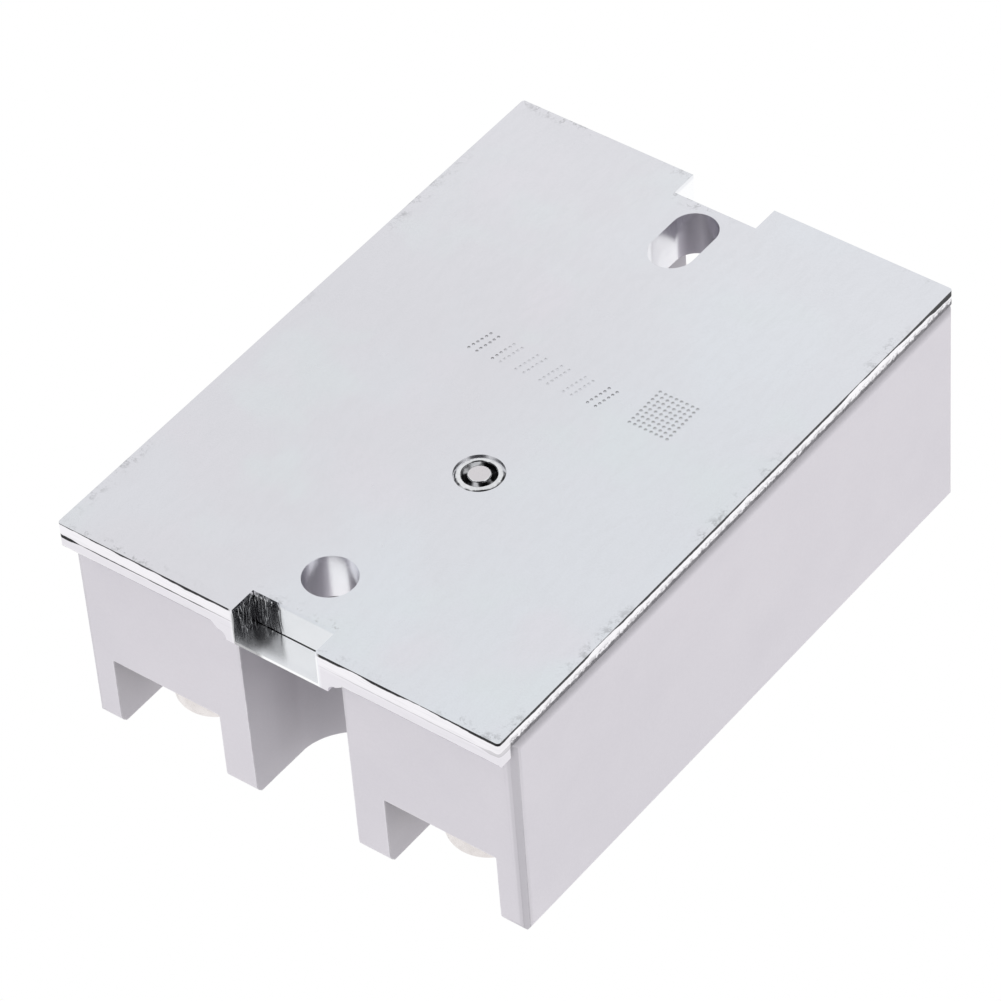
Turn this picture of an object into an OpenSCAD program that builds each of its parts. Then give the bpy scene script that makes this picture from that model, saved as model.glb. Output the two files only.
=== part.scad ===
// Panel-mount solid state relay, lying on its terminal side with the metal base plate on top.
// X runs across the relay, Y along it, Z up. The origin is under the middle, on the resting face.

/* [Overall] */
// Height from the terminal-side face to the outer face of the base plate
total_h = 23.1; // [22:0.1:26]
// Distance between the centres of the mounting hole and the mounting slot
hole_pitch = 47.6; // [47.2:0.1:48]

/* [Base plate] */
// Width of the base plate
plate_w = 44; // [43.8:0.1:44.4]
// Length of the base plate
plate_l = 62.1; // [61.6:0.1:63]
// Thickness of the base plate
plate_t = 2.95; // [2.6:0.05:3]
// Height of the edge band along the long sides
rim_h = 1.5; // [1.4:0.1:1.8]
// Plan radius of the base plate's corners
plate_corner_r = 0.3; // [0.2:0.1:1]
// Diameter of the round mounting hole
hole_d = 4.65; // [4.3:0.05:4.8]
// Width of the mounting slot
slot_w = 4.2; // [4:0.1:4.6]
// Overall length of the mounting slot
slot_l = 7.4; // [6:0.1:8]
// Width of the notch in the middle of each short end
notch_w = 8.3; // [7.6:0.1:8.4]
// Depth of the notch along the relay
notch_d = 2.7; // [2:0.1:3]
// Depth of the notch floor below the outer face
notch_h = 3.5; // [3.2:0.1:4]
// Thickness of the notch floor
notch_floor = 0.3; // [0.2:0.1:0.6]
// Depth of the metal round each hole, from the outer face
boss_depth = 4.45; // [3.8:0.05:4.6]

/* [Rivet] */
// Sideways position of the rivet
rivet_x = 2.7; // [1.5:0.1:3.5]
// Lengthwise position of the rivet
rivet_y = -7.9; // [-9:0.1:-7]
// Diameter of the rivet's countersunk head
rivet_head_d = 4.2; // [3.8:0.1:4.6]
// Diameter of the rivet's shank
rivet_shank_d = 2.4; // [2:0.1:2.6]

/* [Housing] */
// Width of the plastic housing
housing_w = 44.6; // [44.4:0.1:45]
// Length of the plastic housing, flush with the base plate at the slot end
housing_l = 60.6; // [60.2:0.1:60.6]
// Thickness of the outer walls
wall = 2; // [1.6:0.1:2.2]
// Thickness of the walls round the pockets and recesses
inner_wall = 1.8; // [1.4:0.1:2]
// Rounding of the outer edges and upright corners
edge_r = 1; // [0.6:0.1:1.4]
// Rounding of the shoulder under the base plate, on the long sides
shoulder_r = 0.8; // [0.5:0.1:1]
// Radius of the U-shaped recess under each mounting hole
recess_r = 5.25; // [5:0.05:5.4]

/* [Terminals] */
// Sideways distance from the middle to a terminal screw
screw_x = 13.95; // [13.8:0.05:14.1]
// Lengthwise distance from the middle to a terminal screw
screw_y = 23.3; // [23:0.1:23.6]
// Width of a terminal pocket
pocket_w = 11.1; // [10.9:0.1:11.2]
// Depth of a terminal pocket from the end face
pocket_d = 11; // [10.8:0.1:11.2]
// Height of a terminal pocket
pocket_h = 7.5; // [7.4:0.1:7.8]
// Thickness of a terminal plate
terminal_t = 1; // [0.8:0.1:1]
// Thickness of a clamp plate
clamp_t = 1.1; // [0.9:0.1:1.2]
// Diameter of a terminal screw's shank over its thread
shank_d = 3.9; // [3.8:0.05:3.95]
// Length of a terminal screw below its head
shank_l = 8; // [6:0.5:8]
// Diameter of a terminal screw's head
head_d = 7.4; // [7:0.1:8]
// Height of a terminal screw's head
head_h = 3.4; // [3:0.1:3.4]

/* [Electronics] */
// Width of the control board
board_w = 39; // [36:0.5:39.5]
// Length of the control board
board_l = 33.2; // [33:0.1:33.2]
// Thickness of the control board
board_t = 1.6; // [1.2:0.2:1.6]
// Height of the control board's lower face
board_z = 11.4; // [10.8:0.1:11.8]
// Diameter of the status lamp
led_d = 3; // [2.8:0.1:3.2]

/* [Hidden] */
$fn = 64;
EPS = 0.01;
CUT = 2;

// Which corner each terminal stands in: 1 and 2 at the round-hole end, 3 and 4 at the slot end
CORNERS = [[-1, -1], [1, -1], [-1, 1], [1, 1]];

// Heights
plate_under_z = total_h - plate_t;
rim_z = total_h - rim_h;
notch_pad_z = total_h - notch_h - notch_floor;
boss_z = total_h - boss_depth;
deck_z = pocket_h;
terminal_z = deck_z - terminal_t;
clamp_z = terminal_z - clamp_t;
floor_t = 2;

// Base plate
rim_w = 1;
slab_w = plate_w - 2 * rim_w;
hole_y = hole_pitch / 2;
bed_gap = 0.05;
boss_gap = 0.15;

// Housing
flush_gap = 0.05;
far_end_y = plate_l / 2 - flush_gap;
near_end_y = housing_l - far_end_y;
end_wall = 1.8;
cavity_w = housing_w - 2 * wall;
cavity_l = 2 * (near_end_y - end_wall);
pocket_back_y = near_end_y - pocket_d;
column_r = recess_r + inner_wall;
pocket_slack = 0.1;

// Label recess in the terminal-side face
label_w = 38;
label_l = 34;
label_t = 0.2;
label_recess = 0.35;
label_gap = 0.3;
label_window = 0.7;

// Terminals
terminal_w = 9;
terminal_setback = 1;
terminal_front_y = near_end_y - terminal_setback;
tongue_w = 5;
tongue_t = 0.8;
tongue_y = pocket_back_y - inner_wall - tongue_t;
tongue_rise = 1.2;
tongue_top_z = board_z + board_t + tongue_rise;
collar_d = 6;
collar_h = 2.2;
collar_gap = 0.3;
thread_gap = 0.05;
clamp_gap = 0.08;
clamp_w = 7.6;
clamp_l = 8.8;
clamp_corner_r = 1.2;
groove_count = 5;
groove_w = 0.5;
groove_pitch = 1.25;
dome_r = 14;
drive_w = 1.1;
cross_l = 4.6;
cross_depth = 1.7;
slot_depth = 1.2;

// Rivet
rivet_sink = 1;
rivet_tip_d = rivet_head_d / 2;
rivet_ring_d = 2.85;
rivet_ring_depth = 0.25;
rivet_foot_d = 4.8;
rivet_foot_h = 0.8;

// Power device, hung under the base plate round the rivet
insulator_t = 0.8;
insulator_w = 19;
insulator_l = 24;
tab_t = 1.4;
tab_w = 15.6;
tab_l = 20;
tab_hole_d = 3.6;
tab_end = 4.5;
insulator_end = 2;
triac_side = 0.3;
triac_h = 3.4;
triac_l = 12.6;
tab_y = rivet_y - tab_end;
insulator_z = plate_under_z - insulator_t;
tab_z = insulator_z - tab_t;
triac_z = tab_z - triac_h;
triac_y = tab_y + tab_l - triac_l;
lead_pitch = 5.45;
lead_w = 1.2;
lead_t = 0.6;
lead_reach = 1.4;
lead_rise = 1.2;
lead_tail = 0.6;
lead_y = tab_y + tab_l + lead_reach;
lead_z = triac_z + lead_rise;
lead_bottom_z = board_z - lead_tail;

// Output bars, between the power device's outer leads and the terminals at the slot end
bar_t = 0.8;
bar_w = 3.4;
bar_lift = 0.2;
bar_end = 1.2;
bar_z = board_z + board_t + bar_lift;

// Potting compound round the power device
potting_z = 14.6;
potting_top_z = 16.9;
potting_gap = 0.4;

// Components on the board's lower face
opto_size = [6.4, 8.6, 3.5];
opto_at = [-10, 1];
opto_lift = 0.4;
opto_dimple_d = 1.6;
pin_w = 0.5;
pin_t = 0.3;
pin_reach = 0.7;
pin_pitch = 2.54;
transistor_at = [-16.4, -2];
transistor_d = 4.6;
transistor_h = 4.6;
transistor_flat = 1.2;
diode_at = [-16.2, -10.6];
diode_d = 2.6;
diode_l = 5;
diode_lead_l = 0.8;
diode_drop = 1.4;
led_at = [-10.5, -13];
led_h = 5;
led_gap = 0.1;
led_proud = 0.5;
led_collar_d = 3.6;
led_collar_h = 1;
led_pitch = 2.54;
resistor_d = 2.3;
resistor_l = 6.3;
resistor_lift = 0.2;
resistor_step = 3.2;
input_resistor_at = [-1.5, -13];
gate_resistor_at = [1.2, -5];
snubber_resistor_at = [11.5, -2];
capacitor_size = [12.5, 5, 7];
capacitor_at = [10.5, 3.6];
capacitor_lift = 0.3;
capacitor_pitch = 10;
small_lead_d = 0.6;

// ---- helpers ----

// Flat rectangle with true round corners, centred
module rounded_rect(w, l, r) {
    square([w - 2 * r, l], center = true);
    square([w, l - 2 * r], center = true);
    for (sx = [-1, 1], sy = [-1, 1])
        translate([sx * (w / 2 - r), sy * (l / 2 - r)])
            circle(r = r);
}

// Block between two opposite corners
module block(low, high) {
    translate(low)
        cube(high - low);
}

// Puts a child modelled at the +X, +Y corner into one of the four corners
module corner(c) {
    mirror([c[0] < 0 ? 1 : 0, 0, 0])
        mirror([0, c[1] < 0 ? 1 : 0, 0])
            children();
}

// Upright-ended slot outline along Y
module slot_outline(w, l) {
    square([w, l - w], center = true);
    for (s = [-1, 1])
        translate([0, s * (l - w) / 2])
            circle(d = w);
}

// U outline: round at the hole, with a straight end towards +Y
module u_outline(r, end_y) {
    translate([0, hole_y])
        circle(r = r);
    translate([-r, hole_y])
        square([2 * r, end_y - hole_y]);
}

// ---- housing ----

// Outer block: rounded in plan, along its resting edges and at the shoulders
module housing_block() {
    half_w = housing_w / 2;
    half_l = housing_l / 2;
    translate([0, far_end_y - half_l, 0])
        intersection() {
            linear_extrude(height = rim_z)
                rounded_rect(housing_w, housing_l, edge_r);
            translate([0, half_l + CUT, 0])
                rotate([90, 0, 0])
                    linear_extrude(height = housing_l + 2 * CUT)
                        side_profile(half_w, edge_r, shoulder_r);
            translate([-half_w - CUT, 0, 0])
                rotate([90, 0, 90])
                    linear_extrude(height = housing_w + 2 * CUT)
                        side_profile(half_l, edge_r, 0);
        }
}

// Symmetric upright profile with round lower corners and, if asked, round shoulders
module side_profile(half, low_r, high_r) {
    translate([-half, low_r])
        square([2 * half, rim_z - low_r - high_r]);
    translate([-half + low_r, 0])
        square([2 * (half - low_r), low_r + EPS]);
    for (s = [-1, 1])
        translate([s * (half - low_r), low_r])
            circle(r = low_r);
    if (high_r > 0) {
        translate([-half + high_r, rim_z - high_r - EPS])
            square([2 * (half - high_r), high_r + EPS]);
        for (s = [-1, 1])
            translate([s * (half - high_r), rim_z - high_r])
                circle(r = high_r);
    }
}

// Bed for the base plate, between the shoulders
module plate_bed() {
    block([-slab_w / 2 - bed_gap, -plate_l / 2 - CUT, plate_under_z],
          [slab_w / 2 + bed_gap, plate_l / 2 + CUT, total_h]);
}

// Room for the electronics, round the pockets and the mounting recesses
module cavity() {
    difference() {
        translate([0, 0, floor_t])
            linear_extrude(height = total_h)
                rounded_rect(cavity_w, cavity_l, edge_r);
        for (s = [0, 1])
            mirror([0, s, 0])
                translate([0, 0, -CUT])
                    linear_extrude(height = total_h + 3 * CUT)
                        u_outline(column_r, plate_l / 2 + CUT);
        for (c = CORNERS)
            corner(c)
                block([screw_x - pocket_w / 2 - inner_wall, pocket_back_y - inner_wall, 0],
                      [housing_w / 2, near_end_y, deck_z + inner_wall]);
    }
}

// Terminal pocket with its collar hole and the slot for the terminal's tongue
module pocket() {
    block([screw_x - pocket_w / 2, pocket_back_y, -CUT],
          [screw_x + pocket_w / 2, plate_l / 2 + CUT, deck_z]);
    translate([screw_x, screw_y, deck_z - EPS])
        cylinder(d = collar_d + 2 * collar_gap, h = inner_wall + 2 * EPS);
    block([screw_x - tongue_w / 2 - pocket_slack, tongue_y, terminal_z - pocket_slack],
          [screw_x + tongue_w / 2 + pocket_slack, pocket_back_y + EPS, deck_z + pocket_slack]);
}

module housing() {
    color("gainsboro")
        difference() {
            housing_block();
            plate_bed();
            cavity();
            for (c = CORNERS)
                corner(c) pocket();
            for (s = [0, 1])
                mirror([0, s, 0])
                    translate([0, 0, -CUT])
                        linear_extrude(height = total_h + 2 * CUT)
                            u_outline(recess_r, plate_l / 2 + CUT);
            translate([0, 0, -EPS])
                linear_extrude(height = label_recess + EPS)
                    rounded_rect(label_w, label_l, edge_r);
            translate([led_at[0], led_at[1], -EPS])
                cylinder(d = led_d + 2 * led_gap, h = floor_t + 2 * EPS);
        }
}

// ---- base plate and rivet ----

// Slab with edge bands along its long sides, a full-height round-hole end and a boss round each hole
module plate_blank() {
    intersection() {
        translate([0, 0, plate_under_z])
            linear_extrude(height = plate_t)
                rounded_rect(plate_w, plate_l, plate_corner_r);
        union() {
            block([-slab_w / 2, -plate_l, 0], [slab_w / 2, plate_l, total_h + CUT]);
            block([-plate_w, -plate_l, rim_z], [plate_w, plate_l, total_h + CUT]);
            block([-plate_w, -plate_l, 0], [plate_w, -near_end_y - bed_gap, total_h + CUT]);
        }
    }
    for (s = [0, 1])
        mirror([0, s, 0]) {
            translate([0, 0, notch_pad_z])
                linear_extrude(height = plate_t)
                    u_outline(recess_r - boss_gap, plate_l / 2);
            translate([0, 0, boss_z])
                linear_extrude(height = plate_t)
                    u_outline(recess_r - boss_gap, plate_l / 2 - notch_d);
        }
}

module base_plate() {
    color("lightgray")
        difference() {
            plate_blank();
            for (s = [0, 1])
                mirror([0, s, 0])
                    block([-notch_w / 2, plate_l / 2 - notch_d, total_h - notch_h],
                          [notch_w / 2, plate_l / 2 + CUT, total_h + CUT]);
            translate([0, -hole_y, boss_z - CUT])
                cylinder(d = hole_d, h = total_h);
            translate([0, hole_y, boss_z - CUT])
                linear_extrude(height = total_h)
                    slot_outline(slot_w, slot_l);
            translate([rivet_x, rivet_y, plate_under_z - CUT])
                cylinder(d = rivet_shank_d, h = plate_t + 2 * CUT);
            translate([rivet_x, rivet_y, total_h - rivet_sink])
                cylinder(d1 = rivet_shank_d, d2 = rivet_head_d, h = rivet_sink);
        }
}

// Countersunk rivet: flush head with a ring groove round its tip, and a set foot on the tab
module base_rivet() {
    foot_z = tab_z - rivet_foot_h;
    color("silver")
        translate([rivet_x, rivet_y, 0])
            difference() {
                union() {
                    translate([0, 0, foot_z])
                        cylinder(d = rivet_shank_d, h = total_h - rivet_sink - foot_z + EPS);
                    translate([0, 0, total_h - rivet_sink])
                        cylinder(d1 = rivet_shank_d, d2 = rivet_head_d, h = rivet_sink);
                    translate([0, 0, foot_z])
                        cylinder(d = rivet_foot_d, h = rivet_foot_h);
                }
                translate([0, 0, total_h - rivet_ring_depth])
                    difference() {
                        cylinder(d = rivet_ring_d, h = rivet_ring_depth + EPS);
                        translate([0, 0, -EPS])
                            cylinder(d = rivet_tip_d, h = rivet_ring_depth + 3 * EPS);
                    }
            }
}

module face_label() {
    color("whitesmoke")
        translate([0, 0, label_recess - label_t])
            difference() {
                linear_extrude(height = label_t)
                    rounded_rect(label_w - 2 * label_gap, label_l - 2 * label_gap, edge_r);
                translate([led_at[0], led_at[1], -CUT])
                    cylinder(d = led_d + 2 * label_window, h = 2 * CUT);
            }
}

// ---- power device ----

module ceramic_insulator() {
    color("white")
        difference() {
            block([rivet_x - insulator_w / 2, tab_y - insulator_end, insulator_z],
                  [rivet_x + insulator_w / 2, tab_y - insulator_end + insulator_l, plate_under_z]);
            translate([rivet_x, rivet_y, insulator_z - CUT])
                cylinder(d = tab_hole_d, h = 2 * CUT + insulator_t);
        }
}

module triac_tab() {
    color("peru")
        difference() {
            block([rivet_x - tab_w / 2, tab_y, tab_z],
                  [rivet_x + tab_w / 2, tab_y + tab_l, insulator_z]);
            translate([rivet_x, rivet_y, tab_z - CUT])
                cylinder(d = tab_hole_d, h = 2 * CUT + tab_t);
        }
}

module triac_body() {
    color("dimgray")
        block([rivet_x - tab_w / 2 + triac_side, triac_y, triac_z],
              [rivet_x + tab_w / 2 - triac_side, triac_y + triac_l, tab_z]);
}

// Three leads that leave the body, bend down and pass through the board
module triac_leads() {
    color("silver")
        for (i = [-1, 0, 1])
            translate([rivet_x + i * lead_pitch - lead_w / 2, 0, 0]) {
                block([0, triac_y + triac_l, lead_z],
                      [lead_w, lead_y + lead_t, lead_z + lead_t]);
                block([0, lead_y, lead_bottom_z],
                      [lead_w, lead_y + lead_t, lead_z + EPS]);
            }
}

// Flat bar on the board from an outer lead of the power device to a terminal's tongue
module output_busbar(s) {
    lead_x = rivet_x + s * lead_pitch;
    from_x = s > 0 ? lead_x - bar_w / 2 : -screw_x - bar_w / 2;
    to_x = s > 0 ? screw_x + bar_w / 2 : lead_x + bar_w / 2;
    color("peru")
        difference() {
            union() {
                block([from_x, tongue_y - bar_w, bar_z], [to_x, tongue_y, bar_z + bar_t]);
                block([lead_x - bar_w / 2, lead_y - bar_end, bar_z],
                      [lead_x + bar_w / 2, tongue_y - EPS, bar_z + bar_t]);
            }
            block([lead_x - lead_w / 2 - pocket_slack, lead_y - pocket_slack, bar_z - CUT],
                  [lead_x + lead_w / 2 + pocket_slack, lead_y + lead_t + pocket_slack, bar_z + CUT]);
        }
}

// Slab of resin that fills the housing between the board and the power device
module potting_compound() {
    color("darkslategray")
        difference() {
            translate([0, 0, potting_z])
                linear_extrude(height = potting_top_z - potting_z)
                    rounded_rect(cavity_w - potting_gap, cavity_l - potting_gap, edge_r);
            for (s = [0, 1])
                mirror([0, s, 0])
                    translate([0, 0, potting_z - CUT])
                        linear_extrude(height = total_h)
                            u_outline(column_r + potting_gap / 2, plate_l / 2 + CUT);
            block([rivet_x - tab_w / 2 + triac_side, triac_y, potting_z - CUT],
                  [rivet_x + tab_w / 2 - triac_side, triac_y + triac_l, total_h]);
            for (i = [-1, 0, 1])
                translate([rivet_x + i * lead_pitch, 0, 0])
                    block([-lead_w / 2, triac_y + triac_l - EPS, 0],
                          [lead_w / 2, lead_y + lead_t, total_h]);
        }
}

// ---- control electronics ----

module control_board() {
    color("seagreen")
        difference() {
            block([-board_w / 2, -board_l / 2, board_z],
                  [board_w / 2, board_l / 2, board_z + board_t]);
            for (c = CORNERS)
                corner(c)
                    block([screw_x - tongue_w / 2 - 2 * pocket_slack, tongue_y - pocket_slack, 0],
                          [screw_x + tongue_w / 2 + 2 * pocket_slack, board_l / 2 + CUT, total_h]);
            for (i = [-1, 0, 1])
                translate([rivet_x + i * lead_pitch, lead_y, 0])
                    block([-lead_w / 2 - pocket_slack, -pocket_slack, 0],
                          [lead_w / 2 + pocket_slack, lead_t + pocket_slack, total_h]);
        }
}

module optocoupler() {
    color("ivory")
        translate([opto_at[0], opto_at[1], board_z - opto_lift - opto_size[2] / 2])
            difference() {
                cube(opto_size, center = true);
                translate([0, opto_size[1] / 2, -opto_size[2] / 2])
                    cylinder(d = opto_dimple_d, h = 1, center = true);
            }
}

module optocoupler_pins() {
    pin_z = board_z - opto_lift - opto_size[2] / 2;
    color("silver")
        for (s = [-1, 1], i = [-1, 0, 1])
            translate([opto_at[0], opto_at[1] + i * pin_pitch - pin_w / 2, 0])
                mirror([s < 0 ? 1 : 0, 0, 0]) {
                    block([opto_size[0] / 2, 0, pin_z],
                          [opto_size[0] / 2 + pin_reach, pin_w, pin_z + pin_t]);
                    block([opto_size[0] / 2 + pin_reach - pin_t, 0, pin_z],
                          [opto_size[0] / 2 + pin_reach, pin_w, board_z]);
                }
}

module input_transistor() {
    color("dimgray")
        translate([transistor_at[0], transistor_at[1], board_z - transistor_h])
            intersection() {
                cylinder(d = transistor_d, h = transistor_h);
                block([-transistor_d, -transistor_d, 0],
                      [transistor_flat, transistor_d, transistor_h]);
            }
}

module protection_diode() {
    color("dimgray")
        translate([diode_at[0], diode_at[1], board_z - diode_drop])
            rotate([-90, 0, 0])
                cylinder(d = diode_d, h = diode_l, center = true);
    color("silver")
        for (s = [-1, 1])
            translate([diode_at[0], diode_at[1] + s * (diode_l + diode_lead_l) / 2, board_z - diode_drop])
                cube([small_lead_d, diode_lead_l + EPS, small_lead_d], center = true);
}

// Axial resistor lying along X under the board, with its two bent leads
module axial_resistor(x, y, tone) {
    lie_z = board_z - resistor_d / 2 - resistor_lift;
    color(tone)
        translate([x - resistor_l / 2, y, lie_z])
            rotate([0, 90, 0])
                cylinder(d = resistor_d, h = resistor_l);
    color("silver")
        for (s = [-1, 1])
            translate([x + s * (resistor_l + small_lead_d) / 2, y, 0])
                block([-small_lead_d / 2, -small_lead_d / 2, lie_z - small_lead_d / 2],
                      [small_lead_d / 2, small_lead_d / 2, board_z]);
}

module input_resistors() {
    for (i = [0, 1])
        axial_resistor(input_resistor_at[0], input_resistor_at[1] + resistor_step * i, "tan");
}

module gate_resistors() {
    for (i = [0, 1])
        axial_resistor(gate_resistor_at[0], gate_resistor_at[1] + resistor_step * i, "tan");
}

module snubber_resistor() {
    axial_resistor(snubber_resistor_at[0], snubber_resistor_at[1], "lightblue");
}

module snubber_capacitor() {
    color("goldenrod")
        translate([capacitor_at[0], capacitor_at[1], board_z - capacitor_lift - capacitor_size[2] / 2])
            cube(capacitor_size, center = true);
    color("silver")
        for (s = [-1, 1])
            translate([capacitor_at[0] + s * capacitor_pitch / 2, capacitor_at[1], board_z - capacitor_lift])
                cylinder(d = small_lead_d, h = capacitor_lift);
}

// Round lamp that looks out through the housing floor
module status_led() {
    color("darkred")
        translate([led_at[0], led_at[1], 0]) {
            translate([0, 0, led_d / 2 + led_proud])
                sphere(d = led_d);
            translate([0, 0, led_d / 2 + led_proud])
                cylinder(d = led_d, h = led_h - led_d / 2 - led_proud);
            translate([0, 0, led_h - led_collar_h])
                cylinder(d = led_collar_d, h = led_collar_h);
        }
}

module status_led_leads() {
    color("silver")
        for (s = [-1, 1])
            translate([led_at[0] + s * led_pitch / 2, led_at[1], led_h])
                cylinder(d = small_lead_d, h = board_z - led_h);
}

// ---- terminals ----

// Threaded terminal plate under the deck, with a tongue that rises through the board
module terminal_plate(c) {
    color("khaki")
        corner(c)
            difference() {
                union() {
                    block([screw_x - terminal_w / 2, pocket_back_y, terminal_z],
                          [screw_x + terminal_w / 2, terminal_front_y, deck_z]);
                    block([screw_x - tongue_w / 2, tongue_y, terminal_z],
                          [screw_x + tongue_w / 2, pocket_back_y + EPS, deck_z]);
                    block([screw_x - tongue_w / 2, tongue_y, terminal_z],
                          [screw_x + tongue_w / 2, tongue_y + tongue_t, tongue_top_z]);
                    translate([screw_x, screw_y, deck_z - EPS])
                        cylinder(d = collar_d, h = collar_h);
                }
                translate([screw_x, screw_y, terminal_z - CUT])
                    cylinder(d = shank_d + 2 * thread_gap, h = collar_h + terminal_t + 2 * CUT);
            }
}

// Clamp plate that travels with its screw and grips the wire or lug
module clamp_plate(c) {
    color("gold")
        corner(c)
            translate([screw_x, screw_y, clamp_z])
                difference() {
                    linear_extrude(height = clamp_t)
                        rounded_rect(clamp_w, clamp_l, clamp_corner_r);
                    translate([0, 0, -CUT])
                        cylinder(d = shank_d + 2 * clamp_gap, h = clamp_t + 2 * CUT);
                    for (i = [0 : groove_count - 1])
                        translate([(i - (groove_count - 1) / 2) * groove_pitch, 0, clamp_t])
                            rotate([0, 45, 0])
                                cube([groove_w, clamp_l + CUT, groove_w], center = true);
                }
}

// Pan-head screw, drive side down, with a combined slot and cross drive
module terminal_screw(c) {
    color("silver")
        corner(c)
            translate([screw_x, screw_y, clamp_z]) {
                cylinder(d = shank_d, h = shank_l);
                difference() {
                    intersection() {
                        translate([0, 0, -head_h])
                            cylinder(d = head_d, h = head_h + EPS);
                        translate([0, 0, dome_r - head_h])
                            sphere(r = dome_r);
                    }
                    block([-head_d, -head_d, 0], [head_d, head_d, CUT]);
                    translate([0, 0, -head_h])
                        cube([head_d + CUT, drive_w, 2 * slot_depth], center = true);
                    translate([0, 0, -head_h])
                        for (a = [0, 90])
                            rotate([0, 0, a])
                                cube([cross_l, drive_w, 2 * cross_depth], center = true);
                }
            }
}

housing();
base_plate();
base_rivet();
face_label();
ceramic_insulator();
triac_tab();
triac_body();
triac_leads();
output_busbar(-1);  // output_busbar_1
output_busbar(1);  // output_busbar_2
potting_compound();
control_board();
optocoupler();
optocoupler_pins();
input_transistor();
protection_diode();
input_resistors();
gate_resistors();
snubber_resistor();
snubber_capacitor();
status_led();
status_led_leads();
terminal_plate(CORNERS[0]);  // terminal_plate_1
terminal_plate(CORNERS[1]);  // terminal_plate_2
terminal_plate(CORNERS[2]);  // terminal_plate_3
terminal_plate(CORNERS[3]);  // terminal_plate_4
clamp_plate(CORNERS[0]);  // clamp_plate_1
clamp_plate(CORNERS[1]);  // clamp_plate_2
clamp_plate(CORNERS[2]);  // clamp_plate_3
clamp_plate(CORNERS[3]);  // clamp_plate_4
terminal_screw(CORNERS[0]);  // terminal_screw_1
terminal_screw(CORNERS[1]);  // terminal_screw_2
terminal_screw(CORNERS[2]);  // terminal_screw_3
terminal_screw(CORNERS[3]);  // terminal_screw_4
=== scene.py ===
import math
import random

import bmesh
import bpy
from mathutils import Matrix, Vector


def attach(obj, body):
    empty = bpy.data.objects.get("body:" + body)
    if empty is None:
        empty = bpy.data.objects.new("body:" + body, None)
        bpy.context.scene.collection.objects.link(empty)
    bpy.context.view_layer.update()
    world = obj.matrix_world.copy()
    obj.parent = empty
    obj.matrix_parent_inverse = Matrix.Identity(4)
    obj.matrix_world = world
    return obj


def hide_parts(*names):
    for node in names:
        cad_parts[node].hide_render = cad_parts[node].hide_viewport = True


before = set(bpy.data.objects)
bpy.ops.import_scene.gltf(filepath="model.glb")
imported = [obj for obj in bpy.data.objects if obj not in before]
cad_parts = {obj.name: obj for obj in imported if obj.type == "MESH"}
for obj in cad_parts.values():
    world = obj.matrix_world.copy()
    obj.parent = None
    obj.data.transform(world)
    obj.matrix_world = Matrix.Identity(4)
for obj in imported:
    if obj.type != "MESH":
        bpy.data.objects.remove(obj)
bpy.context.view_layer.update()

random.seed(41)

MM = 0.001
scene = bpy.context.scene

# Sizes in millimetres, as in the CAD
TOTAL_H = 23.1
PLATE_W, PLATE_L, PLATE_T, PLATE_CORNER = 44.0, 62.1, 2.95, 0.3
PLATE_UNDER = TOTAL_H - PLATE_T
SLAB_W, RIM_H, PAD_Z, BOSS_Z = 42.0, 1.5, 19.3, 18.65
RIM_Z = TOTAL_H - RIM_H
END_Y = 29.65
HOLE_Y, HOLE_R, SLOT_W, SLOT_L = 23.8, 2.325, 4.2, 7.4
NOTCH_W, NOTCH_D, NOTCH_Z = 8.3, 2.7, 19.6
BOSS_R = 5.1
RIVET = Vector((2.7, -7.9))
HOUSING_W, NEAR_Y, FAR_Y = 44.6, 29.6, 31.0
WALL, INNER_WALL, EDGE_R, SHOULDER_R, FLOOR_T = 2.0, 1.8, 1.0, 0.8, 2.0
RECESS_R = 5.25
COLUMN_R = RECESS_R + INNER_WALL
SCREW_X, SCREW_Y = 13.95, 23.3
POCKET_W, POCKET_BACK, POCKET_H = 11.1, 18.6, 7.5
TERMINAL_Z, CLAMP_Z, CLAMP_T = 6.5, 5.4, 1.1
CLAMP_W, CLAMP_L, CLAMP_R = 7.6, 8.8, 1.2
HEAD_H, HEAD_DOME = 3.4, 14.0
LED_X, LED_Y, LED_D = -10.5, -13.0, 3.0
RIVET_LOW_Z = 19.1
LABEL_W, LABEL_L, LABEL_RECESS = 38.0, 34.0, 0.35
TONGUE_W, TONGUE_Y, TONGUE_TOP = 5.0, 16.0, 14.2
COLLAR_R, COLLAR_GAP, COLLAR_TOP, THREAD_HOLE_R = 3.0, 0.3, 9.7, 2.0
CORNERS = [(-1, -1), (1, -1), (-1, 1), (1, 1)]


# ---------------------------------------------------------------- mesh tools

def new_object(name, bm):
    mesh = bpy.data.meshes.new(name)
    bmesh.ops.recalc_face_normals(bm, faces=bm.faces)
    bm.to_mesh(mesh)
    bm.free()
    obj = bpy.data.objects.new(name, mesh)
    scene.collection.objects.link(obj)
    return obj


def arc(cx, cy, r, start, end, steps):
    return [(cx + r * math.cos(math.radians(start + (end - start) * i / steps)),
             cy + r * math.sin(math.radians(start + (end - start) * i / steps))) for i in range(steps + 1)]


def rounded_rect(w, l, r, steps=8, cx=0.0, cy=0.0):
    x, y = w / 2 - r, l / 2 - r
    return (arc(cx + x, cy + y, r, 0, 90, steps) + arc(cx - x, cy + y, r, 90, 180, steps)
            + arc(cx - x, cy - y, r, 180, 270, steps) + arc(cx + x, cy - y, r, 270, 360, steps))


def circle(cx, cy, r, steps=48):
    return arc(cx, cy, r, 0, 360 - 360 / steps, steps - 1)


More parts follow.
